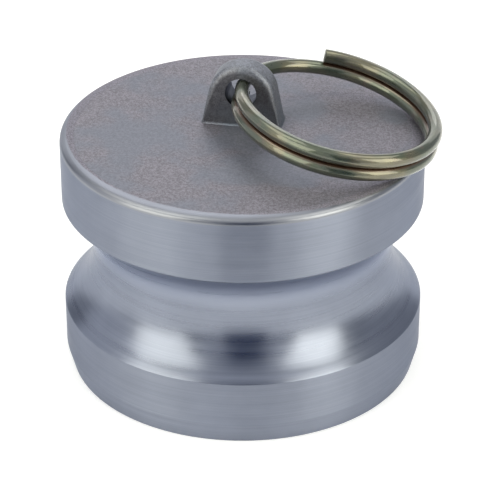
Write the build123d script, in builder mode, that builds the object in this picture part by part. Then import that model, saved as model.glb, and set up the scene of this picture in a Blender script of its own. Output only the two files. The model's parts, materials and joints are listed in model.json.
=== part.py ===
# Cam and groove dust plug for a 2 inch coupler, with its split ring.
# The plug is one hollow casting, turned outside, with a drilled lug cast on its top.
# The split ring is one length of round wire, coiled not quite twice round through the lug.
# Units are millimetres and +Z is up.
# The origin is on the turning axis, in the plane of the nose face.
# The lug's hole runs along Y and the ring lies towards +X.

import os
from math import asin, atan2, cos, hypot, radians, sin, tan

from build123d import *

# Turned outside of the plug
nose_radius = 31.5              # 63.0 across, a 2 inch male adaptor
nose_lead_drop = 0.95           # lead-in cone at the nose, radial
nose_lead_length = 3.6          # and along the axis
groove_bottom_z = 12.55         # lower edge of the cam groove
groove_top_z = 31.7             # upper edge of the cam groove
groove_depth = 5.15             # below the nose radius
groove_chamfer = 0.7            # broken lower edge of the groove
band_radius = 31.4              # band over the groove
band_edge_radius = 0.4          # rolled lower edge of the band
top_z = 43.3                    # cast top face
crown_drop = 1.1                # turned edge of the top face, along the axis
crown_width = 1.8               # and radial

# Cast inside of the plug
groove_wall = 3.6               # metal left behind the groove's root
top_thickness = 5.0
cavity_draft = 1.5              # degrees
cavity_corner_radius = 3.0
mouth_chamfer = 0.6

# Lug on the top face
lug_x = -0.7
lug_y = 4.4
lug_base_width = 13.8
lug_web = 2.1                   # metal over the hole
lug_arch_radius = 5.8
lug_base_thickness = 5.4
lug_top_thickness = 5.0
lug_rim_radius = 0.6
lug_foot_radius = 0.5
lug_root = 1.0                  # part of the lug sunk in the top face
hole_height = 6.1               # centre of the hole over the top face
hole_clearance = 0.31           # round the two turns of wire
hole_lip_radius = 0.2

# Split ring
wire_diameter = 2.4
coil_gap = 0.08                 # air between the two turns
coil_radius = 16.84             # mean radius of the wire's centre line
coil_ovality = 0.0665           # part of the radius gained along the long axis
coil_long_axis = -47.1          # degrees from +X to the long axis
coil_lean_x = -0.21             # sideways run of each turn along the long axis
coil_lean_y = -0.11             # and across it
free_end_sweep = 300.7          # degrees of wire from the free end to the lug
hidden_end_sweep = 3.0          # degrees of wire past the lug at the other end
ring_bearing = -11.8            # degrees from +X, from the lug to the middle of the ring
slope_bearing = 8.0             # degrees from +X, the way the ring slopes down
rest_gap = 0.08                 # air under the ring where it lies on the rim
points_per_turn = 20

# The turned outside and the cast inside, drawn as one half section
groove_root_radius = nose_radius - groove_depth
groove_mid_z = (groove_bottom_z + groove_top_z) / 2
ceiling_radius = groove_root_radius - groove_wall
ceiling_z = top_z - top_thickness
mouth_radius = ceiling_radius + ceiling_z * tan(radians(cavity_draft))
crown_z = top_z - crown_drop

with BuildPart() as shell:
    with BuildSketch(Plane.XZ) as half_section:
        with BuildLine():
            lead = Polyline(
                (mouth_radius, 0),
                (nose_radius - nose_lead_drop, 0),
                (nose_radius, nose_lead_length),
                (nose_radius, groove_bottom_z - groove_chamfer),
                (nose_radius - groove_chamfer, groove_bottom_z),
            )
            groove = ThreePointArc(
                lead @ 1,
                (groove_root_radius, groove_mid_z),
                (band_radius, groove_top_z),
            )
            band = Line(groove @ 1, (band_radius, crown_z))
            crown = EllipticalCenterArc(
                (band_radius - crown_width, crown_z),
                crown_width,
                crown_drop,
                arc_size=90,
            )
            Polyline(
                crown @ 1,
                (0, top_z),
                (0, ceiling_z),
                (ceiling_radius, ceiling_z),
                (mouth_radius, 0),
            )
        make_face()
        corners = half_section.vertices()
        chamfer(corners.sort_by_distance((mouth_radius, 0))[0], mouth_chamfer)
        fillet(corners.sort_by_distance((ceiling_radius, ceiling_z))[0], cavity_corner_radius)
        fillet(corners.sort_by_distance((band_radius, groove_top_z))[0], band_edge_radius)
    revolve(axis=Axis.Z)

# The lug, an arch seen along the hole and a wedge seen across it
coil_pitch = wire_diameter + coil_gap
hole_radius = (coil_pitch + wire_diameter) / 2 + hole_clearance
hole_z = top_z + hole_height
lug_height = hole_height + hole_radius + lug_web
arch_z = top_z + lug_height - lug_arch_radius
lug_taper = (lug_base_thickness - lug_top_thickness) / lug_height
lug_root_thickness = lug_base_thickness + lug_taper * lug_root
lug_face_y = lug_top_thickness / 4
along_hole = Plane(origin=(lug_x, lug_y, 0), x_dir=(1, 0, 0), z_dir=(0, -1, 0))
across_hole = Plane(origin=(lug_x, lug_y, 0), x_dir=(0, 1, 0), z_dir=(1, 0, 0))

with BuildPart() as lug:
    with BuildSketch(along_hole):
        with Locations((0, arch_z)):
            Circle(lug_arch_radius)
        with Locations((0, top_z)):
            Rectangle(lug_base_width, lug_root, align=(Align.CENTER, Align.MAX))
        make_hull()
    extrude(amount=lug_base_thickness, both=True)
    with BuildSketch(across_hole):
        with BuildLine():
            Polyline(
                (-lug_root_thickness / 2, top_z - lug_root),
                (lug_root_thickness / 2, top_z - lug_root),
                (lug_top_thickness / 2, top_z + lug_height),
                (-lug_top_thickness / 2, top_z + lug_height),
                close=True,
            )
        make_face()
    extrude(amount=lug_base_width, both=True, mode=Mode.INTERSECT)

with BuildPart() as plug_body:
    add(shell.part)
    add(lug.part)
    rims = plug_body.edges().filter_by(
        lambda e: e.center().Z > top_z + lug_rim_radius and abs(e.center().Y - lug_y) > lug_face_y
    )
    fillet(rims, lug_rim_radius)
    level_faces = plug_body.faces().filter_by(Axis.Z)
    top_face = level_faces.filter_by(lambda f: abs(f.center().Z - top_z) < lug_foot_radius)[0]
    fillet(top_face.inner_wires()[0].edges(), lug_foot_radius)
    with BuildSketch(along_hole):
        with Locations((0, hole_z)):
            Circle(hole_radius)
    extrude(amount=lug_base_thickness, both=True, mode=Mode.SUBTRACT)
    lips = plug_body.edges().filter_by(
        lambda e: abs(e.center().Z - hole_z) < hole_lip_radius and abs(e.center().Y - lug_y) > lug_face_y
    )
    fillet(lips, hole_lip_radius)

# The ring slopes from the hole down to the rim, which it meets half way round the crown's curve
half_way = radians(45)
slope_way = radians(slope_bearing)
rim_distance = (
    band_radius - crown_width * (1 - cos(half_way)) - lug_x * cos(slope_way) - lug_y * sin(slope_way)
)
rim_fall = hole_z - crown_z - crown_drop * sin(half_way)
turn_rise = coil_pitch * (slope_bearing - ring_bearing) / 360
rim_lift = wire_diameter / 2 + rest_gap - turn_rise
slope = atan2(rim_fall, rim_distance) - asin(rim_lift / hypot(rim_fall, rim_distance))

# The coil's plane goes through the middle of the hole, its x along the long axis of the oval
coil_normal = Vector(sin(slope) * cos(slope_way), sin(slope) * sin(slope_way), cos(slope))
level_long_axis = Vector(cos(radians(coil_long_axis)), sin(radians(coil_long_axis)), 0)
coil_plane = Plane(
    origin=(lug_x, lug_y, hole_z),
    x_dir=level_long_axis - coil_normal * coil_normal.dot(level_long_axis),
    z_dir=coil_normal,
)
lug_angle = 180 + ring_bearing - coil_long_axis


def coil_point(sweep):
    """Centre line of the wire, a given sweep in degrees from its free end, seen from the coil's middle."""
    turn = sweep / 360
    angle = radians(lug_angle + free_end_sweep - sweep)
    radius = coil_radius * (1 + coil_ovality * cos(2 * angle))
    return Vector(
        radius * cos(angle) + coil_lean_x * turn,
        radius * sin(angle) + coil_lean_y * turn,
        -coil_pitch * turn,
    )


coil_sweep = free_end_sweep + 360 + hidden_end_sweep
hole_pass = (coil_point(free_end_sweep) + coil_point(free_end_sweep + 360)) / 2
point_count = round(coil_sweep / 360 * points_per_turn)
coil_points = [
    coil_plane.from_local_coords(coil_point(coil_sweep * i / point_count) - hole_pass)
    for i in range(point_count + 1)
]

with BuildPart() as split_ring:
    with BuildLine() as wire_path:
        Spline(*coil_points)
    with BuildSketch(Plane(origin=wire_path.line @ 0, z_dir=wire_path.line % 0)):
        Circle(wire_diameter / 2)
    sweep(path=wire_path.line)

plug_body.part.label = "plug_body"
split_ring.part.label = "split_ring"
os.makedirs("parts", exist_ok=True)
export_step(plug_body.part, "parts/plug_body.step")
export_step(split_ring.part, "parts/split_ring.step")
print("plug_body volume", plug_body.part.volume, "split_ring volume", split_ring.part.volume)
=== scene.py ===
# %% [markdown]
# # A cam and groove dust plug
#
# The plug closes one end of a 2 inch hose coupling while it isn't in use. It is one aluminium casting: the
# side was turned on a lathe, and the top, the lug and the hollow inside were left as they came out of the
# mould. A split ring of plated wire hangs in the lug, for a chain that isn't there.
#
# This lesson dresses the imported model. The wire ring keeps its own mesh and gets a finish. The casting is
# built again as surfaces worked out with numpy, so that it can carry what the mould and the lathe left on
# it.

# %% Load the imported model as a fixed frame
import json
from math import cos, pi, radians, sin, tan

import bpy
import numpy as np
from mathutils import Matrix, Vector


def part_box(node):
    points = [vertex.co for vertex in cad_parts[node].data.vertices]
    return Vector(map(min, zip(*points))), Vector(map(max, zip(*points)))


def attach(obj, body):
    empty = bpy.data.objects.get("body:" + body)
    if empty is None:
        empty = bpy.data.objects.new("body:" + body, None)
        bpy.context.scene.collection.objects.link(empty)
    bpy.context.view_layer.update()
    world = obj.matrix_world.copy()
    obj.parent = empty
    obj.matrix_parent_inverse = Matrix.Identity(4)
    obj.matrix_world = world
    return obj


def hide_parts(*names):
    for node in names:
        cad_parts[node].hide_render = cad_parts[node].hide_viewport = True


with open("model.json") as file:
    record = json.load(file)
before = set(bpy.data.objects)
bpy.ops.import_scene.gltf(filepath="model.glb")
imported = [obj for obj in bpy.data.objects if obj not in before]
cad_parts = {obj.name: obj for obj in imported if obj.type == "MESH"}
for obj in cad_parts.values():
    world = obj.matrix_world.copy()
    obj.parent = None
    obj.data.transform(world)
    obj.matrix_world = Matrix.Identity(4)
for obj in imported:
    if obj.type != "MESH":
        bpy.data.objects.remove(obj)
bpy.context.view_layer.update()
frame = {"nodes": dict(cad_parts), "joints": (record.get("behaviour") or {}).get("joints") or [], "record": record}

MM = 0.001

# %% [markdown]
# ## Sizes taken from the frame
#
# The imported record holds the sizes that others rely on: the nose is a mount with a radius, and the ring's
# hinge goes through the middle of the hole in the lug. The rest of the turned outline could be measured on
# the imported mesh, but a size with a name can be read and changed. So it is given here in millimetres, as a
# turner would read it from a drawing. The sizes that only one step needs stand in that step.

# %% Name the sizes that several steps share
mounts = {mount["name"]: mount for mount in frame["record"]["mounts"]}
joints = {joint["name"]: joint for joint in frame["joints"]}
nose_radius = mounts["nose"]["dims"]["r_mm"]
hole_x, hole_y, hole_z = (value / MM for value in joints["ring_swing"]["pos_m"])

top_z = 43.3
band_radius = 31.4
groove_bottom_z = 12.55
groove_top_z = 31.7
groove_mid_z = (groove_bottom_z + groove_top_z) / 2
crown_width = 2.45
cast_radius = band_radius - crown_width
print("nose radius", nose_radius, "hole centre", round(hole_x, 2), round(hole_y, 2), round(hole_z, 2))

# %% [markdown]
# ## The camera
#
# The camera comes first, because it says which sizes matter. The photograph was taken with a long lens from
# about 43 cm, looking 30 degrees down, with the ring to the right. A long lens keeps the two rims nearly
# parallel, so the lens and the distance both have to be right. A camera could be placed by three
# coordinates and a Track To constraint. Here it is placed by what it looks at and from which side, which is
# easier to change.

# %% Place the camera
camera_azimuth = radians(11.206)
camera_elevation = radians(29.994)
camera_distance = 0.4275
camera_aim = np.array([1.225, 0.278, 19.7]) * MM
lens_pixels = 2424.6
picture_pixels = 500


def way_out(azimuth, elevation):
    """Unit vector from the plug: azimuth goes round from the front, to the right, and elevation goes up."""
    return np.array([sin(azimuth) * cos(elevation), -cos(azimuth) * cos(elevation), sin(elevation)])


camera_data = bpy.data.cameras.new("camera")
camera = bpy.data.objects.new("camera", camera_data)
bpy.context.scene.collection.objects.link(camera)
camera.location = camera_aim + way_out(camera_azimuth, camera_elevation) * camera_distance
camera.rotation_euler = (pi / 2 - camera_elevation, 0, camera_azimuth)
camera_data.lens = camera_data.sensor_width * lens_pixels / picture_pixels
bpy.context.scene.camera = camera
print("lens", round(camera_data.lens, 1), "mm")

# %% [markdown]
# ## Grids into meshes
#
# Every surface here is a grid of points that closes on itself in one direction, like the rings of a turned
# part. A Screw modifier or the Spin tool would turn a profile too, but a grid can also be moved point by
# point. One helper turns such a grid into a mesh. Where a row has shrunk to a point on the axis it is
# closed with a fan of triangles, so the mesh has no hole and no stray edge.


# %% Helpers that make a mesh from rings of points
def ring_mesh(name, rings, material, close_rows=False):
    """Mesh of a grid of points, in mm, that is closed along its second direction.

    rings has the shape (rows, points, 3). The first and last row are single points on the axis and become
    fans, or, with close_rows, the last row joins the first and the mesh is a closed tube.
    """
    rows, across = rings.shape[:2]
    here = np.arange(across)
    after = (here + 1) % across
    if close_rows:
        points = rings.reshape(-1, 3)
        low = np.arange(rows)[:, None] * across
        high = (np.arange(rows)[:, None] + 1) % rows * across
        fans = []
    else:
        points = np.concatenate([rings[0, :1], rings[1:-1].reshape(-1, 3), rings[-1, :1]])
        low = 1 + np.arange(rows - 3)[:, None] * across
        high = low + across
        last_row = 1 + (rows - 3) * across
        tip = len(points) - 1
        first_fan = np.stack([np.zeros(across, int), 1 + after, 1 + here], 1)
        last_fan = np.stack([np.full(across, tip), last_row + here, last_row + after], 1)
        fans = first_fan.tolist() + last_fan.tolist()
    quads = np.stack([low + here, low + after, high + after, high + here], 2).reshape(-1, 4)
    mesh = bpy.data.meshes.new(name)
    mesh.from_pydata((points * MM).tolist(), [], quads.tolist() + fans)
    mesh.materials.append(material)
    mesh.shade_smooth()
    mesh.validate()
    piece = bpy.data.objects.new(name, mesh)
    bpy.context.scene.collection.objects.link(piece)
    print(name, len(mesh.vertices), "points", len(mesh.polygons), "faces")
    return piece


def revolve(profile, segments):
    """Rings of a turned surface: each (radius, z) of the profile goes once round the Z axis."""
    angle = np.linspace(0, 2 * pi, segments, endpoint=False)
    radius = profile[:, 0, None]
    height = np.repeat(profile[:, 1, None], segments, 1)
    return np.stack([radius * np.cos(angle), radius * np.sin(angle), height], 2)


# %% [markdown]
# ## Roughness that is really there
#
# Cast metal copies the sand or shell of its mould. A bump map would show that from the front but not in the
# outline or in the mesh itself, so the cast faces are moved by a height field. The field is value noise:
# random numbers on a lattice, blended smoothly between its corners. Several lattices of different size are
# added up.

# %% Helpers that work out random heights
lattice_size = 64


def ease(share):
    """A share from 0 to 1 that starts and ends slowly: 3t^2 - 2t^3."""
    return share * share * (3 - 2 * share)


def lattice_noise(points, cell, seed):
    """Smooth random heights from -1 to 1 at points: random values at the corners of cubes of one cell, each
    point taking the average of the eight corners round it, weighted by the eased share of its way to
    them."""
    values = np.random.default_rng(seed).uniform(-1, 1, (lattice_size,) * 3)
    place = points / cell
    corner = np.floor(place).astype(int)
    share = ease(place - corner)
    total = np.zeros(points.shape[:-1])
    for step in np.ndindex(2, 2, 2):
        index = (corner + step) % lattice_size
        weight = np.where(np.array(step) == 1, share, 1 - share).prod(-1)
        total += weight * values[index[..., 0], index[..., 1], index[..., 2]]
    return total


def layered_noise(points, layers, seed):
    """Lattices added up. Each layer is (height, cell) in mm and has its own seed, one up from the last."""
    heights = (height * lattice_noise(points, cell, seed + i) for i, (height, cell) in enumerate(layers))
    return sum(heights)


# %% Describe the cast skin
grain_layers = [(0.022, 0.36), (0.012, 0.8)]
wave_layers = [(0.010, 3.1), (0.02, 8.3)]
grain_limit = 0.018
top_seed = 11


def cast_heights(points, seed):
    """Height of a cast skin in mm: fine and coarser grain with its peaks worn flat, on slow waves."""
    grain = layered_noise(points, grain_layers, seed)
    waves = layered_noise(points, wave_layers, seed + len(grain_layers))
    return np.minimum(grain, grain_limit) + waves


sample = np.stack(np.meshgrid(np.linspace(0, 20, 100), np.linspace(0, 20, 100), [0.0]), -1)
sample_heights = cast_heights(sample, top_seed)
print("cast skin from", sample_heights.min().round(3), "to", sample_heights.max().round(3), "mm")

# %% [markdown]
# ## Shader helpers
#
# Each finish is a small tree of shader nodes. It could be drawn by hand in the Shader Editor, but code can
# reuse its parts. These helpers keep the trees short to read: one adds a node and fills its inputs, the
# others are the sums and blends that come up again and again. All patterns read Object coordinates, which
# are the same as the part's own frame because every object sits at the origin.


# %% Helpers that add nodes
def set_inputs(tree, node, inputs):
    """Fill a node's inputs, given by name or number, each with a link to a socket or with a plain value."""
    for name, value in inputs.items():
        if isinstance(value, bpy.types.NodeSocket):
            tree.links.new(value, node.inputs[name])
        else:
            node.inputs[name].default_value = value


def add_node(tree, kind, inputs=None, **settings):
    """A new node with its inputs filled. settings are its own properties."""
    made = tree.nodes.new(kind)
    for name, value in settings.items():
        setattr(made, name, value)
    set_inputs(tree, made, inputs or {})
    return made


# %% Helpers for sums and blends
def calc(tree, operation, first, second=0.0):
    """One sum on two numbers or sockets."""
    return add_node(tree, "ShaderNodeMath", {0: first, 1: second}, operation=operation).outputs[0]


def weigh(tree, *terms):
    """Sum of value * weight over pairs of the two."""
    total, *others = (calc(tree, "MULTIPLY", value, weight) for value, weight in terms)
    for other in others:
        total = calc(tree, "ADD", total, other)
    return total


def vector_calc(tree, operation, first, second=None):
    """One sum on two vectors, on a vector and a number for SCALE, or on one vector."""
    inputs = {0: first}
    if second is not None:
        inputs["Scale" if operation == "SCALE" else 1] = second
    made = add_node(tree, "ShaderNodeVectorMath", inputs, operation=operation)
    return made.outputs["Value" if operation in ("LENGTH", "DOT_PRODUCT") else "Vector"]


def fade(tree, value, low, high, to_low=0.0, to_high=1.0):
    """A smooth step: to_low below low, to_high above high."""
    made = add_node(
        tree, "ShaderNodeMapRange",
        {"Value": value, "From Min": low, "From Max": high, "To Min": to_low, "To Max": to_high},
        interpolation_type="SMOOTHSTEP",
    )
    return made.outputs["Result"]


def toned(tint, change=1.0):
    """A colour times change, which is one number or three, with the fourth part that sockets want."""
    return (*np.multiply(tint, change), 1.0)


def mix_colours(tree, share, first, second):
    """A blend of two colours. The Mix node has inputs for every kind of value, so they are told apart by
    their identifiers."""
    made = add_node(tree, "ShaderNodeMix", data_type="RGBA")
    numbers = {socket.identifier: number for number, socket in enumerate(made.inputs)}
    given = {"Factor_Float": share, "A_Color": first, "B_Color": second}
    set_inputs(tree, made, {numbers[name]: value for name, value in given.items()})
    return next(socket for socket in made.outputs if socket.identifier == "Result_Color")


# %% Helpers for patterns and for a new material
def noise(tree, place, scale, detail=2.0, roughness=0.5, w=None):
    """Noise texture, in four dimensions if w is given."""
    inputs = {"Vector": place, "Scale": scale, "Detail": detail, "Roughness": roughness}
    if w is not None:
        inputs["W"] = w
    made = add_node(tree, "ShaderNodeTexNoise", inputs, noise_dimensions="3D" if w is None else "4D")
    return made.outputs["Fac"]


def drawn_noise(tree, outward, reach, height, radius, spacing):
    """Noise drawn out round an axis. Its four coordinates are the outward direction times reach, and the
    height and the radius in units of spacing, so it changes quickly from ring to ring and slowly round
    each."""
    round_axis = vector_calc(tree, "SCALE", outward, reach)
    up = add_node(tree, "ShaderNodeCombineXYZ", {2: calc(tree, "DIVIDE", height, spacing)}).outputs[0]
    place = vector_calc(tree, "ADD", round_axis, up)
    return noise(tree, place, 1.0, detail=2.0, roughness=0.6, w=calc(tree, "DIVIDE", radius, spacing))


def from_axis(tree, x, y):
    """Distance of a point from an axis and its direction outward, from its coordinates across the axis."""
    level = add_node(tree, "ShaderNodeCombineXYZ", {0: x, 1: y}).outputs[0]
    return vector_calc(tree, "LENGTH", level), vector_calc(tree, "NORMALIZE", level)


def low_bump(tree, pattern, depth):
    """Normals of a relief that is depth mm high where the pattern goes from 0 to 1."""
    inputs = {"Height": pattern, "Strength": 1.0, "Distance": depth * MM}
    return add_node(tree, "ShaderNodeBump", inputs).outputs[0]


def new_material(name):
    """An empty material and its tree, with the place in mm and a Principled shader on the output."""
    material = bpy.data.materials.new(name)
    material.use_nodes = True
    tree = material.node_tree
    tree.nodes.clear()
    place = add_node(tree, "ShaderNodeTexCoord").outputs["Object"]
    place = vector_calc(tree, "SCALE", place, 1 / MM)
    shader = add_node(tree, "ShaderNodeBsdfPrincipled")
    add_node(tree, "ShaderNodeOutputMaterial", {"Surface": shader.outputs[0]})
    return material, tree, place, shader


# %% [markdown]
# ## Turned aluminium
#
# A lathe tool leaves fine rings. They spread a reflection along the part's axis and leave it sharp round
# it, which is why a turned part shows tall soft bands of light. The rings could be modelled, but they are
# finer than any mesh. The shader does it with anisotropy: its tangent runs round the axis, turned by a
# quarter so that the spread goes the other way. Over it lies noise drawn out round the part, which moves
# the tone, the roughness and a very low bump from ring to ring.
#
# The crown is the rounded edge between side and top. The tool was a little off the casting's middle there,
# so on one side it reached the top face and on the other it left a strip of cast skin. The wall of the
# lug's hole was drilled, and takes the same kind of finish, made much darker as painted shade in the hole.

# %% Say where the tool left skin on the crown
cast_tint = (0.248, 0.237, 0.27)
specks_per_mm = 5.0
cut_mean = 0.907
cut_once = 0.949
cut_twice = 0.481
cut_once_bearing = radians(-113.4)
cut_twice_bearing = radians(-102.9)
cut_ragged = 0.25
cut_softness = 0.12


def specks(tree, place):
    """The fine pattern that a cast skin has, about as fine as the grains of the mould."""
    return noise(tree, place, specks_per_mm, detail=2.0, roughness=0.6)


def speckle(tree, pattern):
    """The same pattern with its middle tones drawn apart, so that light and dark grains lie side by side."""
    return fade(tree, pattern, 0.36, 0.64)


def crown_skin(tree, place, radius, outward):
    """1 where the crown keeps its cast skin, and 0 where the tool cut it. The cut reaches inward from the
    band by cut_mean + cut_once * cos(a) + cut_twice * cos(2b) mm and is ragged by cut_ragged, where a and b
    are the turns from the two bearings. A cosine is a dot product here, and cos(2b) is 2 * cos(b)^2 - 1."""
    bearings = (cut_once_bearing, cut_twice_bearing)
    once, twice = (
        vector_calc(tree, "DOT_PRODUCT", outward, (cos(bearing), sin(bearing), 0)) for bearing in bearings
    )
    twice_squared = calc(tree, "MULTIPLY", twice, twice)
    ragged = noise(tree, place, 1.1, detail=3.0)
    cut = weigh(tree, (once, cut_once), (twice_squared, 2 * cut_twice), (ragged, 2 * cut_ragged))
    reach = calc(tree, "ADD", calc(tree, "ADD", radius, cut), cut_mean - cut_twice - cut_ragged)
    return fade(tree, reach, band_radius - cut_softness, band_radius + cut_softness, 1.0, 0.0)


print("cut on the crown", cut_mean, "mm on average, at most", round(cut_mean + cut_once + cut_twice, 2))

# %% Make the turned finishes
aluminium_tint = (0.239, 0.261, 0.322)
crown_tint = (0.272, 0.283, 0.315)
# Painted shade: the drilled wall's colour is made dark for the shade inside the lug's hole.
drilled_shade_tint = (0.09, 0.095, 0.11)
edge_tint = (0.7, 0.72, 0.78)
ring_reach = 0.7
fine_rings = 0.16
coarse_rings = 1.1
dull_ring, bright_ring = 0.86, 1.12
smooth_ring, rough_ring = 0.88, 1.14
dark_skin, light_skin = 0.88, 1.46
skin_roughness = 0.3
# Height at which the painted light on the groove's upper part is full.
painted_light_top_z = groove_top_z - 4


def turned_aluminium(name, tint, roughness, anisotropy, ring_depth, painted_light_gain=None, keeps_skin=False):
    """Lathe-turned metal. ring_depth is the height of the tool's rings in mm. The factor after ring_depth, when
    given, makes the colour lighter by that factor towards the groove's upper edge, as painted light. With
    keeps_skin it has the cast skin that the tool left on the crown."""
    material, tree, place, shader = new_material(name)
    x, y, height = add_node(tree, "ShaderNodeSeparateXYZ", {0: place}).outputs
    radius, outward = from_axis(tree, x, y)
    fine = drawn_noise(tree, outward, ring_reach, height, radius, fine_rings)
    coarse = drawn_noise(tree, outward, ring_reach, height, radius, coarse_rings)
    cloud = noise(tree, place, 0.11, detail=3.0)
    share = weigh(tree, (fine, 0.35), (coarse, 0.35), (cloud, 0.3))
    colour = mix_colours(tree, fade(tree, share, 0.3, 0.7), toned(tint, dull_ring), toned(tint, bright_ring))
    # Painted light: the colour gets lighter towards the groove's upper edge.
    if painted_light_gain:
        upward = fade(tree, height, groove_mid_z, painted_light_top_z)
        colour = mix_colours(tree, upward, colour, toned(tint, painted_light_gain))
    uneven = fade(tree, coarse, 0.25, 0.75, roughness * smooth_ring, roughness * rough_ring)
    if keeps_skin:
        skin = crown_skin(tree, place, radius, outward)
        share = speckle(tree, specks(tree, place))
        speckled = mix_colours(tree, share, toned(cast_tint, dark_skin), toned(cast_tint, light_skin))
        colour = mix_colours(tree, skin, colour, speckled)
        uneven = weigh(tree, (uneven, 1.0), (skin, skin_roughness))
    set_inputs(tree, shader, {
        "Base Color": colour,
        "Roughness": uneven,
        "Metallic": 1.0,
        "Specular Tint": toned(edge_tint),
        "Tangent": vector_calc(tree, "CROSS_PRODUCT", (0, 0, 1), outward),
        "Anisotropic": anisotropy,
        "Anisotropic Rotation": 0.25,
        "Normal": low_bump(tree, fine, ring_depth),
    })
    return material


turned_satin = turned_aluminium(
    "turned_satin", aluminium_tint, roughness=0.36, anisotropy=0.9, ring_depth=0.005,
)
# The groove's colour gets painted light towards its upper edge, up to 1.65 times as light.
turned_groove = turned_aluminium(
    "turned_groove", aluminium_tint, roughness=0.29, anisotropy=0.5, ring_depth=0.002, painted_light_gain=1.65,
)
turned_crown = turned_aluminium(
    "turned_crown", crown_tint, roughness=0.33, anisotropy=0.3, ring_depth=0.001, keeps_skin=True,
)
# The drilled wall is dark with painted shade.
drilled_wall = turned_aluminium(
    "drilled_wall", drilled_shade_tint, roughness=0.35, anisotropy=0.2, ring_depth=0.003,
)
print("made", turned_satin.name, turned_groove.name, turned_crown.name, drilled_wall.name)

# %% [markdown]
# ## Cast aluminium
#
# The mould leaves a dull skin with a fine grain. It is still metal, so it takes its colour from the light
# round it, but so rough that nothing can be recognised in it. A plain rough metal would look like paint.
# Small lighter and darker specks, and slow patches of a cooler tone, make the grain show even where the
# light is flat.

# %% Make the cast finishes
lug_tint = (0.215, 0.226, 0.258)
cup_tint = (0.3, 0.3, 0.32)
# Painted shade: the dark brown that the lug's front and back faces are blended towards.
painted_shade_tint = (0.06, 0.045, 0.032)
cool_change = (0.84, 1.0, 1.07)
cool_share = 0.5
dark_grain, light_grain = 0.66, 1.34
cast_grain_depth = 0.045


def cast_aluminium(name, tint, roughness, sheltered=None):
    """Skin of a casting: a rough metal with speckled tone and a grain finer than the mesh. Its last argument,
    which has the same name as a value kept on the mesh, says how much darker the colour gets where that
    value is 1: painted shade."""
    material, tree, place, shader = new_material(name)
    speck = specks(tree, place)
    fleck = noise(tree, place, 1.9, detail=3.0, roughness=0.65)
    cloud = noise(tree, place, 0.08, detail=3.0)
    share = weigh(tree, (speck, 0.62), (fleck, 0.38))
    colour = mix_colours(tree, speckle(tree, share), toned(tint, dark_grain), toned(tint, light_grain))
    cool = fade(tree, cloud, 0.44, 0.6, 0.0, cool_share)
    colour = mix_colours(tree, cool, colour, toned(tint, cool_change))
    # Painted shade: the colour goes towards a dark brown where the mesh's value says so.
    if sheltered:
        shade = add_node(tree, "ShaderNodeAttribute", attribute_name="sheltered").outputs["Fac"]
        colour = mix_colours(tree, calc(tree, "MULTIPLY", shade, sheltered), colour, toned(painted_shade_tint))
    set_inputs(tree, shader, {
        "Base Color": colour,
        "Roughness": fade(tree, speck, 0.3, 0.7, roughness * 0.9, roughness * 1.1),
        "Metallic": 0.9,
        "Normal": low_bump(tree, share, cast_grain_depth),
    })
    return material


cast_top_skin = cast_aluminium("cast_top_skin", cast_tint, roughness=0.6)
# The lug's front and back faces get painted shade, 0.46 of the way to dark brown.
cast_lug_skin = cast_aluminium("cast_lug_skin", lug_tint, roughness=0.48, sheltered=0.46)
cast_cup_skin = cast_aluminium("cast_cup_skin", cup_tint, roughness=0.62)
print("made", cast_top_skin.name, cast_lug_skin.name, cast_cup_skin.name)

# %% [markdown]
# ## The turned shell
#
# Nose, groove, band and crown are one turned surface, and with the inside of the cup they make one closed
# skin: a profile carried once round the axis. A Bevel modifier could break the edges, but only by one
# radius for all. Here the profile is written as corners, each with the small radius that a tool leaves on
# it, because a corner with no radius never catches the light. Straight stretches get extra points near
# their ends, so that the smooth shading of a corner doesn't bleed into the flat beside it.

# %% Helpers for the corners and stretches of a profile
least_turn = radians(2)


def rounded_outline(corners, arc_steps=5):
    """Points of a line through corners (radius, z, fillet): each corner is cut back by fillet * tan(half
    its turn) on both sides and an arc tangent to both lines goes between the two cuts."""
    spots = np.array([corner[:2] for corner in corners], float)
    fillets = [corner[2] for corner in corners]
    outline = [spots[:1]]
    for before, spot, after, fillet in zip(spots[:-2], spots[1:-1], spots[2:], fillets[1:-1]):
        arriving = (spot - before) / np.linalg.norm(spot - before)
        leaving = (after - spot) / np.linalg.norm(after - spot)
        turn = np.arccos(np.clip(arriving @ leaving, -1, 1))
        if fillet == 0 or turn < least_turn:
            outline.append(spot[None])
            continue
        middle = spot + (leaving - arriving) / np.linalg.norm(leaving - arriving) * fillet / cos(turn / 2)
        spoke = spot - arriving * fillet * tan(turn / 2) - middle
        side = np.sign(arriving[0] * leaving[1] - arriving[1] * leaving[0])
        step = np.linspace(0, turn * side, arc_steps + 1)[:, None]
        across = np.array([-spoke[1], spoke[0]])
        outline.append(middle + np.cos(step) * spoke + np.sin(step) * across)
    outline.append(spots[-1:])
    return np.concatenate(outline)


def spread(outline, spacing):
    """The same line with more points on its long stretches, closer together near the ends of each."""
    dense = [outline[:1]]
    for start, end in zip(outline[:-1], outline[1:]):
        steps = max(1, int(np.ceil(np.linalg.norm(end - start) / spacing)))
        steps = steps + 2 if steps > 1 else 1
        share = (1 - np.cos(np.linspace(0, pi, steps + 1)[1:])) / 2
        dense.append(start + share[:, None] * (end - start))
    return np.concatenate(dense)


# %% Work out the groove and the crown
groove_depth = 5.15
groove_chamfer = 0.7
groove_steps = 56
crown_drop = 1.1
crown_rise = 0.75
crown_run = 0.5
crown_steps = 24
groove_root_radius = nose_radius - groove_depth
crown_z = top_z - crown_drop


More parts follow.
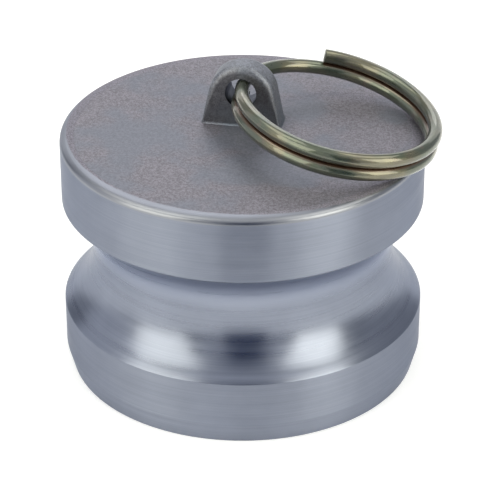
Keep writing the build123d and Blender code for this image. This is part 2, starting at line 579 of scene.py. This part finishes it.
def arc_through(start, middle, end, steps):
    """Points on the circle through three points, from start to end, found from its centre, which lies where
    the perpendicular bisectors of the two chords cross."""
    start, middle, end = (np.array(point, float) for point in (start, middle, end))
    chords = np.stack([middle - start, end - middle])
    halves = np.array([middle @ middle - start @ start, end @ end - middle @ middle]) / 2
    centre = np.linalg.solve(chords, halves)
    first, last = (np.arctan2(*(point - centre)[::-1]) % (2 * pi) for point in (start, end))
    angle = np.linspace(first, last, steps)[:, None]
    reach = np.linalg.norm(start - centre)
    return centre + reach * np.concatenate([np.cos(angle), np.sin(angle)], 1)


def crown_curve(steps):
    """Cubic curve from the crease over the band to the flat top: (1-t)^3 A + 3t(1-t)^2 B + 3t^2(1-t) C +
    t^3 D, where B stands straight over A, so that the edge starts steep, and C lies on the level of D."""
    t = np.linspace(0, 1, steps)[:, None]
    crease = np.array([band_radius, crown_z])
    rise = np.array([band_radius, crown_z + crown_rise])
    run = np.array([band_radius - crown_run, top_z])
    level = np.array([cast_radius, top_z])
    return (1 - t) ** 3 * crease + 3 * t * (1 - t) ** 2 * rise + 3 * t ** 2 * (1 - t) * run + t ** 3 * level


groove_start = (nose_radius - groove_chamfer, groove_bottom_z)
groove_line = arc_through(
    groove_start, (groove_root_radius, groove_mid_z), (band_radius, groove_top_z), groove_steps,
)
crown_line = crown_curve(crown_steps)
print("groove", len(groove_line), "points, narrowest radius", groove_line[:, 0].min().round(2), "mm")
print("crown", len(crown_line), "points,", crown_width, "mm wide and", crown_drop, "mm high")

# %% Build the turned shell
tool_radius = 0.12
band_edge_radius = 0.4
nose_lead_drop = 0.95
nose_lead_length = 3.6
groove_wall = 3.6
top_thickness = 5.0
cup_draft = radians(1.5)
cup_corner_radius = 3.0
mouth_edge_radius = 0.6
crown_lip_width = 0.04
crown_lip_drop = 0.03
seat_slope = 0.3
seat_depth = 0.3
shell_spacing = 1.2
shell_segments = 360

ceiling_radius = groove_root_radius - groove_wall
ceiling_z = top_z - top_thickness
mouth_radius = ceiling_radius + ceiling_z * tan(cup_draft)
seat_z = top_z - seat_depth
cup_corners = [
    (0, ceiling_z, 0),
    (ceiling_radius, ceiling_z, cup_corner_radius),
    (mouth_radius, 0, mouth_edge_radius),
]
nose_corners = [
    (nose_radius - nose_lead_drop, 0, tool_radius),
    (nose_radius, nose_lead_length, tool_radius),
    (nose_radius, groove_bottom_z - groove_chamfer, tool_radius),
]
seat_corners = [
    (cast_radius - crown_lip_width, top_z - crown_lip_drop, 0),
    (cast_radius - seat_slope, seat_z, 0),
    (0, seat_z, 0),
]
shell_corners = (
    cup_corners
    + nose_corners
    + [(r, z, 0) for r, z in groove_line[:-1]]
    + [(band_radius, groove_top_z, band_edge_radius)]
    + [(r, z, 0) for r, z in crown_line]
    + seat_corners
)
shell_profile = spread(rounded_outline(shell_corners), shell_spacing)
turned_shell = ring_mesh("turned_shell", revolve(shell_profile, shell_segments), turned_satin)

# %% Give each zone of the shell its finish
for finish in (turned_groove, cast_cup_skin, turned_crown):
    turned_shell.data.materials.append(finish)
face_count = len(turned_shell.data.polygons)
centres = np.empty(face_count * 3, np.float32)
turned_shell.data.polygons.foreach_get("center", centres)
centres = centres.reshape(-1, 3) / MM
face_radius = np.hypot(centres[:, 0], centres[:, 1])
face_z = centres[:, 2]
in_groove = (face_z > groove_bottom_z - groove_chamfer) & (face_z < groove_top_z - band_edge_radius)
in_cup = (face_radius < mouth_radius + mouth_edge_radius / 2) & (face_z < seat_z - seat_depth / 2)
on_crown = face_z > crown_z
zone = np.zeros(face_count, np.int32)
zone[in_groove] = 1
zone[in_cup] = 2
zone[on_crown] = 3
turned_shell.data.polygons.foreach_set("material_index", zone)
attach(turned_shell, "plug")
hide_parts("plug_body")
print("faces satin, groove, cup, crown:", np.bincount(zone, minlength=4))

# %% [markdown]
# ## The cast top
#
# The top was never machined inside the crown. It could be a plane with a Displace modifier, but its round
# edge would then cut through square faces. It is a thin round slab set in the shell: its upper face is
# moved by the cast heights, and its edge drops just inside the crown. The rings of its grid are a fifth of
# a millimetre apart, which is as fine as the grain needs.

# %% Build the cast top
slab_sink = 0.1
slab_overlap = 0.03
slab_edge_radius = 0.05
slab_rings = 150
slab_segments = 480
calm_width = 0.8
least_grain = 0.25

slab_bottom_z = seat_z - slab_sink
slab_corners = [
    (0, slab_bottom_z, 0),
    (cast_radius - seat_slope, slab_bottom_z, 0),
    (cast_radius + slab_overlap, top_z - slab_sink, 0),
    (cast_radius, top_z, slab_edge_radius),
    (0, top_z, 0),
]
slab_edge = spread(rounded_outline(slab_corners, arc_steps=3)[:-1], spacing=6.0)
slab_radii = np.linspace(slab_edge[-1, 0], 0, slab_rings)[1:]
slab_face = np.stack([slab_radii, np.full(slab_rings - 1, top_z)], 1)
slab = revolve(np.concatenate([slab_edge, slab_face]), slab_segments)
upper = slab[..., 2] > top_z - slab_edge_radius
to_edge = cast_radius - np.hypot(slab[..., 0], slab[..., 1])
calm = np.clip(to_edge / calm_width, least_grain, 1)
slab[..., 2] += np.where(upper, cast_heights(slab * (1, 1, 0), top_seed) * calm, 0)
cast_top = ring_mesh("cast_top", slab, cast_top_skin)
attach(cast_top, "plug")

# %% [markdown]
# ## The lug
#
# The lug was cast with the top. Seen along its hole it is an arch on straight, spreading sides, and it gets
# thinner towards its top so that it leaves the mould. It could be a slab with a hole cut by a Boolean
# modifier, but that leaves long thin faces that can't carry the grain or a soft rim. A closed surface with
# a hole through it is a bent tube: one direction of the grid goes round the hole, the other goes round the
# metal, from the wall of the hole over the front face, the rim and the back face to the wall again. The
# foot widens in a small fillet and sinks into the top.

# %% Name the lug's sizes
lug_top_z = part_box("plug_body")[1].z / MM
hole_radius = 2.7
hole_lip_radius = 0.08
lug_height = lug_top_z - top_z
lug_arch_radius = 5.8
lug_base_width = 13.8
lug_base_thickness = 5.4
lug_top_thickness = 5.0
lug_rim_low = 0.5
lug_rim_top = 1.25
lug_foot_radius = 0.28
lug_root = 0.35
arch_level = top_z + lug_height - lug_arch_radius - hole_z
base_level = top_z - hole_z
print("lug", round(lug_height, 2), "mm high, arch centre at", round(arch_level, 2), "from the hole's")

# %% Helpers for the lug's outline and section
tiny = 1e-6
very_far = 1e6


def lug_outline(angle):
    """Distance from the hole's centre to the lug's outline in a direction: the arch's circle where the ray
    meets it, and the straight side or the foot elsewhere, whichever comes first."""
    corner = np.array([lug_base_width / 2, base_level])
    to_corner = corner - np.array([0, arch_level])
    lean = np.arctan2(to_corner[1], to_corner[0]) + np.arccos(lug_arch_radius / np.linalg.norm(to_corner))
    side_normal = np.array([np.cos(lean), np.sin(lean)])
    side_reach = lug_arch_radius + side_normal[1] * arch_level
    dx, dz = np.abs(np.cos(angle)), np.sin(angle)
    to_side = side_reach / np.maximum(dx * side_normal[0] + dz * side_normal[1], tiny)
    to_foot = np.where(dz < 0, (base_level - lug_root) / np.minimum(dz, -tiny), very_far)
    to_arch = dz * arch_level + np.sqrt(lug_arch_radius ** 2 - (dx * arch_level) ** 2)
    meets_arch = np.arctan2(dz * to_arch - arch_level, dx * to_arch) > lean
    return np.minimum(np.where(meets_arch, to_arch, to_side), to_foot)


def lug_section(face_steps=26, arc_steps=9, rim_steps=16, wall_steps=12):
    """One loop round the metal. Each point is (share of the way from hole to outline, shift outward in rim
    and in lip radii, share of the half thickness, shift along the hole in rim and in lip radii, outward
    part of its normal, part along the hole)."""
    quarter = np.linspace(0, pi / 2, arc_steps)[1:]
    face = [(s, -s, 1 - s, 1, 0, 0, 0, 1) for s in np.linspace(0, 1, face_steps)]
    edge = [(1, sin(t) - 1, 0, 1, cos(t) - 1, 0, sin(t), cos(t)) for t in quarter]
    rim_line = [(1, 0, 0, s, -s, 0, 1, 0) for s in np.linspace(1, -1, rim_steps)[1:-1]]
    wall = [(0, 0, 0, s, 0, -s, -1, 0) for s in np.linspace(-1, 1, wall_steps)[1:-1]]
    mouth = np.array([(0, 0, 1 - sin(t), 1, 0, cos(t) - 1, -sin(t), cos(t)) for t in quarter])
    flip = np.array([1, 1, 1, -1, -1, -1, 1, -1])
    front = np.array(face + edge)
    back = (front * flip)[::-1]
    return np.concatenate([front, rim_line, back, mouth * flip, wall, mouth[::-1]])


# %% A helper that finds which way a grid faces
def grid_normals(grid):
    """Unit normals of a grid that closes both ways: the cross product of its two central differences."""
    down = np.roll(grid, -1, 0) - np.roll(grid, 1, 0)
    across = np.roll(grid, -1, 1) - np.roll(grid, 1, 1)
    cross = np.cross(across, down)
    return cross / np.maximum(np.linalg.norm(cross, axis=2, keepdims=True), tiny * MM)


# %% Work out the lug's grid
lug_segments = 220
rim_grows_from = -0.8
rim_full_at = 0.5

angle = np.linspace(pi, -pi, lug_segments, endpoint=False)
section = lug_section()
part, out_rim, out_lip, thick, along_rim, along_lip, outward, sideways = (c[:, None] for c in section.T)
climb = np.clip((np.sin(angle) - rim_grows_from) / (rim_full_at - rim_grows_from), 0, 1)
rim = lug_rim_low + (lug_rim_top - lug_rim_low) * ease(climb)
rim = np.where(thick > 0, rim, lug_rim_top)
to_outline = lug_outline(angle) - hole_radius
distance = hole_radius + out_rim * rim + out_lip * hole_lip_radius + part * to_outline
local_x = distance * np.cos(angle)
local_z = distance * np.sin(angle)

above = local_z - base_level
taper = (lug_base_thickness - lug_top_thickness) / lug_height
half_thickness = (lug_base_thickness - taper * above) / 2
foot = lug_foot_radius - np.clip(above, 0, lug_foot_radius)
flare = lug_foot_radius - np.sqrt(lug_foot_radius ** 2 - foot ** 2)
local_x = local_x + flare * np.maximum(outward, 0) * np.sign(np.cos(angle)) * (part > 0)
local_y = thick * half_thickness + along_rim * rim + along_lip * hole_lip_radius + flare * sideways
lug_grid = np.stack([hole_x + local_x, hole_y - local_y, hole_z + local_z], 2)
print("lug grid", lug_grid.shape[:2], "spans", np.ptp(lug_grid, (0, 1)).round(2), "mm")

# %% Roughen the lug and set it on the top
lug_seed = 41
lump_height = 0.05
lump_cell = 2.3
lump_seed = 47
least_inward = -0.3

faces_hole = outward < least_inward
skin = cast_heights(lug_grid, lug_seed) + lump_height * lattice_noise(lug_grid, lump_cell, lump_seed)
skin = np.where((part > 0) | ~faces_hole, skin, 0)
lug_points = lug_grid + grid_normals(lug_grid) * skin[..., None]
lug = ring_mesh("lug", lug_points, cast_lug_skin, close_rows=True)
# Painted shade: the lug's front and back faces are darker, fading out over the rounded rim and near the foot.
shade = lug.data.attributes.new("sheltered", "FLOAT", "POINT")
face_shade_share = (1 - np.maximum(outward, 0)) * np.clip(above / (2 * lug_foot_radius), 0, 1)
shade.data.foreach_set("value", face_shade_share.ravel().astype(np.float32))
lug.data.materials.append(drilled_wall)
drilled = np.repeat((part == 0) & faces_hole, lug_segments)
lug.data.polygons.foreach_set("material_index", drilled.astype(np.int32))
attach(lug, "plug")
print("faces of the drilled wall:", drilled.sum())

# %% [markdown]
# ## Plated wire
#
# The ring is steel wire, zinc plated and passivated yellow. The passivation is a film so thin that its
# colour drifts from straw to green and rose along the wire. It could be painted on a UV map, but the packed
# mesh has none and stays as it is. So the shader works out where on the coil a point is, by the coil's own
# axes. Drawing the wire left faint lines along it, the seam between the two turns is dark reddish brown as
# painted shade, and the cut end is dull. A clear coat stands for the smooth film.

# %% Describe the coil
ring_slope = radians(9.65)
slope_bearing = radians(8.0)
free_end_bearing = radians(108.9)
coil_centre = (16.74, 0.705, 49.91)
coil_pitch = 2.48
end_sharp, end_soft = 0.06, 0.14

coil_normal = np.array([
    sin(ring_slope) * cos(slope_bearing), sin(ring_slope) * sin(slope_bearing), cos(ring_slope),
])
to_free_end = np.array([cos(free_end_bearing), sin(free_end_bearing), 0.0])
to_free_end -= coil_normal * (coil_normal @ to_free_end)
to_free_end /= np.linalg.norm(to_free_end)
coil_axes = [to_free_end, np.cross(to_free_end, coil_normal), coil_normal]
print("towards the free end", to_free_end.round(3))


def cut_end_share(tree, x, y, z):
    """1 on the face of the wire's free end, which lies in the plane y = 0 of the first turn, else 0."""
    near = fade(tree, calc(tree, "ABSOLUTE", y), end_sharp, end_soft, 1.0, 0.0)
    near = calc(tree, "MULTIPLY", near, calc(tree, "GREATER_THAN", x, 0.0))
    return calc(tree, "MULTIPLY", near, calc(tree, "GREATER_THAN", z, -coil_pitch / 2))


# %% Make the plated finish and give it to the ring
straw = (0.15, 0.137, 0.08)
green = (0.088, 0.107, 0.065)
rose = (0.145, 0.108, 0.082)
line_tint = (0.06, 0.066, 0.052)
# Painted shade: the dark reddish brown along the seam where the two turns meet.
seam_shade_tint = (0.14, 0.07, 0.042)
cut_end_tint = (0.06, 0.062, 0.045)
lines_per_mm = 3.5
line_reach = 5.0
end_roughness = 0.3


def passivated_wire(name):
    """Yellow passivated zinc. With x, y, z measured from the coil's middle and a the turn from the free
    end, z + pitch * a / 2pi is the height over the first turn of wire, and half a pitch under it the turns
    meet."""
    material, tree, place, shader = new_material(name)
    from_centre = vector_calc(tree, "SUBTRACT", place, coil_centre)
    x, y, z = (vector_calc(tree, "DOT_PRODUCT", from_centre, tuple(axis)) for axis in coil_axes)
    turned = calc(tree, "ARCTAN2", calc(tree, "MULTIPLY", y, -1.0), calc(tree, "MULTIPLY", x, -1.0))
    climbed = calc(tree, "MULTIPLY", calc(tree, "ADD", turned, pi), coil_pitch / (2 * pi))
    height = calc(tree, "ADD", z, climbed)
    radius, outward = from_axis(tree, x, y)
    streak = drawn_noise(tree, outward, line_reach, height, radius, 1 / lines_per_mm)
    drift = noise(tree, place, 0.16)
    patch = noise(tree, place, 0.45, detail=3.0, roughness=0.6)
    off_seam = calc(tree, "ABSOLUTE", calc(tree, "ADD", height, coil_pitch / 2))
    cut_end = cut_end_share(tree, x, y, z)
    film = mix_colours(tree, fade(tree, drift, 0.38, 0.6), toned(straw), toned(green))
    film = mix_colours(tree, fade(tree, patch, 0.56, 0.7, 0.0, 0.55), film, toned(rose))
    film = mix_colours(tree, fade(tree, streak, 0.35, 0.7, 0.0, 0.45), film, toned(line_tint))
    # Painted shade in the seam between the turns.
    film = mix_colours(tree, fade(tree, off_seam, 0.1, 0.6, 0.85, 0.0), film, toned(seam_shade_tint))
    film = mix_colours(tree, cut_end, film, toned(cut_end_tint))
    set_inputs(tree, shader, {
        "Base Color": film,
        "Roughness": weigh(tree, (fade(tree, streak, 0.3, 0.7, 0.26, 0.42), 1.0), (cut_end, end_roughness)),
        "Metallic": fade(tree, cut_end, 0.0, 1.0, 0.85, 0.3),
        "Coat Weight": calc(tree, "SUBTRACT", 1.0, cut_end),
        "Coat IOR": 1.65,
        "Coat Roughness": 0.05,
        "Normal": low_bump(tree, streak, 0.004),
    })
    return material


ring = frame["nodes"]["split_ring"]
ring.data.materials.clear()
ring.data.materials.append(passivated_wire("passivated_wire"))
print("ring faces", len(ring.data.polygons))

# %% [markdown]
# ## The floor
#
# The plug stands on a white ground that keeps its shadow. Strong lamps would turn a pale floor white, but
# they would also bleach the metal. So the floor is pale paint with a little glow of its own, which only the
# camera and the rays that come off metal see. The metal then shows the same ground as the picture. It lies
# a hair under the plug, because two faces in one plane flicker.


# %% Helpers for the studio
def studio_paint(name, colour, glow=0.0, seen_by=()):
    """Dull paint that also glows for the kinds of ray in seen_by, where 1 is white."""
    material = bpy.data.materials.new(name)
    material.use_nodes = True
    tree = material.node_tree
    tree.nodes.clear()
    surface = add_node(tree, "ShaderNodeBsdfDiffuse", {"Color": toned(colour)}).outputs[0]
    if seen_by:
        rays = add_node(tree, "ShaderNodeLightPath").outputs
        seen = rays[seen_by[0]]
        for kind in seen_by[1:]:
            seen = calc(tree, "MAXIMUM", seen, rays[kind])
        strength = calc(tree, "MULTIPLY", seen, glow)
        light = add_node(tree, "ShaderNodeEmission", {"Color": toned((1, 1, 1)), "Strength": strength})
        surface = add_node(tree, "ShaderNodeAddShader", {0: surface, 1: light.outputs[0]}).outputs[0]
    add_node(tree, "ShaderNodeOutputMaterial", {"Surface": surface})
    return material


def studio_sheet(name, corners, faces, paint):
    """A sheet of the studio, in metres, which isn't part of the object."""
    mesh = bpy.data.meshes.new(name)
    mesh.from_pydata(corners, [], faces)
    mesh.materials.append(paint)
    sheet = bpy.data.objects.new(name, mesh)
    bpy.context.scene.collection.objects.link(sheet)
    print(name, len(faces), "faces")
    return sheet


# %% Lay the floor
floor_half = 4.0
floor_z = -0.02 * MM
floor_signs = ((-1, -1), (1, -1), (1, 1), (-1, 1))

white_floor = studio_paint(
    "white_floor", (0.8, 0.8, 0.8), glow=0.38,
    seen_by=("Is Camera Ray", "Is Glossy Ray", "Is Transmission Ray"),
)
floor_corners = [(x * floor_half, y * floor_half, floor_z) for x, y in floor_signs]
floor = studio_sheet("floor", floor_corners, [(0, 1, 2, 3)], white_floor)

# %% [markdown]
# ## What the metal reflects
#
# Bare metal shows its surroundings more than its own colour, so the studio is half of the finish. The
# reflections could be drawn into the base colour, but they would stay where they are when the camera
# moves. Here they come from real things round the plug. Behind it, out of the picture, stands a white
# sweep that glows for the metal alone. In front of it a dark cloth lies on the floor and then rises, in
# place of the dark room behind the camera. It makes the dark band in the middle of the groove and of the
# wire. Only reflections see it, so it throws no shadow on the floor.


# %% Hang the white sweep and the dark card
def curved_sheet(name, azimuth, half_width, rows, columns, paint):
    """A sheet bent round the plug's axis. Each row is (distance, height) in metres, and all rows go
    half_width degrees to each side of a bearing, which is counted from the camera's side."""
    turns = camera_azimuth + np.radians(azimuth + np.linspace(-half_width, half_width, columns))
    ways = np.stack([np.sin(turns), -np.cos(turns), np.zeros(columns)], 1)
    corners = np.concatenate([ways * distance + (0, 0, height) for distance, height in rows])
    starts = [row * columns + column for row in range(len(rows) - 1) for column in range(columns - 1)]
    faces = [(i, i + 1, i + 1 + columns, i + columns) for i in starts]
    return studio_sheet(name, corners.tolist(), faces, paint)


white_paper = studio_paint("white_paper", (0.3, 0.3, 0.3), glow=1.0, seen_by=("Is Glossy Ray",))
sweep_rows = [(1.6, 0.0), (1.6, 1.0)]
backdrop = curved_sheet(
    "white_backdrop", azimuth=180, half_width=40, rows=sweep_rows, columns=25, paint=white_paper,
)

dark_cloth = studio_paint("dark_cloth", (0.028, 0.055, 0.15))
card_rows = [(0.1426, 0.001), (0.62, 0.001), (0.31, 0.32)]
card = curved_sheet("dark_card", azimuth=2, half_width=14, rows=card_rows, columns=13, paint=dark_cloth)
card.visible_camera = False
card.visible_diffuse = False
card.visible_shadow = False

# %% [markdown]
# ## The lamps
#
# Sun or point lamps would leave hard streaks on metal, so every lamp is a soft box: a rectangle whose
# picture in the metal is a soft-edged band. Two tall boxes left and right of the camera make the bright
# bands on the turned side, and a wide weak one behind the dark card fills the gap between them. One over
# the camera and two high at the sides light the crown and the wire, two low at the sides light the ends of
# the turned side, and two behind and above give the top its tone. The world is a weak grey blue, which
# keeps the dark sides from going black.

# %% Hang the lamps
white = (1, 1, 1)
warm = (1.0, 0.97, 0.82)
sky_tint = (0.31, 0.33, 0.375)


def soft_box(name, azimuth, elevation, distance, width, height, power, colour=white):
    """A rectangular lamp that faces the plug, placed by its bearing from the camera's side and its
    elevation in degrees, with distance and size in metres and power in watts."""
    lamp_data = bpy.data.lights.new(name, "AREA")
    lamp_data.shape = "RECTANGLE"
    lamp_data.size = width
    lamp_data.size_y = height
    lamp_data.energy = power
    lamp_data.color = colour
    lamp = bpy.data.objects.new(name, lamp_data)
    bpy.context.scene.collection.objects.link(lamp)
    turn = camera_azimuth + radians(azimuth)
    rise = radians(elevation)
    lamp.location = camera_aim + way_out(turn, rise) * distance
    lamp.rotation_euler = (pi / 2 - rise, 0, turn)
    return lamp


# name, azimuth, elevation, distance, width, height, power and colour
lamps = [
    soft_box("left_box", -57, 28, 0.9, 0.6, 0.8, 4.1, warm),
    soft_box("right_box", 52, 27, 0.9, 0.53, 0.76, 4.4, warm),
    soft_box("front_top_box", 2, 68, 0.9, 0.8, 0.3, 0.42),
    soft_box("front_wall", 2, 26, 1.0, 1.1, 0.8, 0.95),
    soft_box("left_fill", -100, 26, 1.2, 0.9, 1.0, 1.4),
    soft_box("right_fill", 112, 22, 1.2, 0.9, 0.9, 0.24),
    soft_box("left_high_box", -112, 65, 0.9, 0.5, 0.45, 1.6, warm),
    soft_box("right_high_box", 108, 65, 0.9, 0.5, 0.45, 1.5, warm),
    soft_box("top_box", 180, 82, 1.0, 1.2, 1.0, 0.9),
    soft_box("back_box", -178, 40, 0.9, 0.44, 0.3, 0.8),
]
print("lamps", [lamp.name for lamp in lamps])

# %% Set the world and the view
world = bpy.data.worlds.new("studio")
bpy.context.scene.world = world
world.use_nodes = True
world.node_tree.nodes.clear()
sky = add_node(world.node_tree, "ShaderNodeBackground", {"Color": toned(sky_tint), "Strength": 1.0})
add_node(world.node_tree, "ShaderNodeOutputWorld", {"Surface": sky.outputs[0]})
bpy.context.scene.view_settings.view_transform = "Standard"
print("view", bpy.context.scene.view_settings.view_transform)
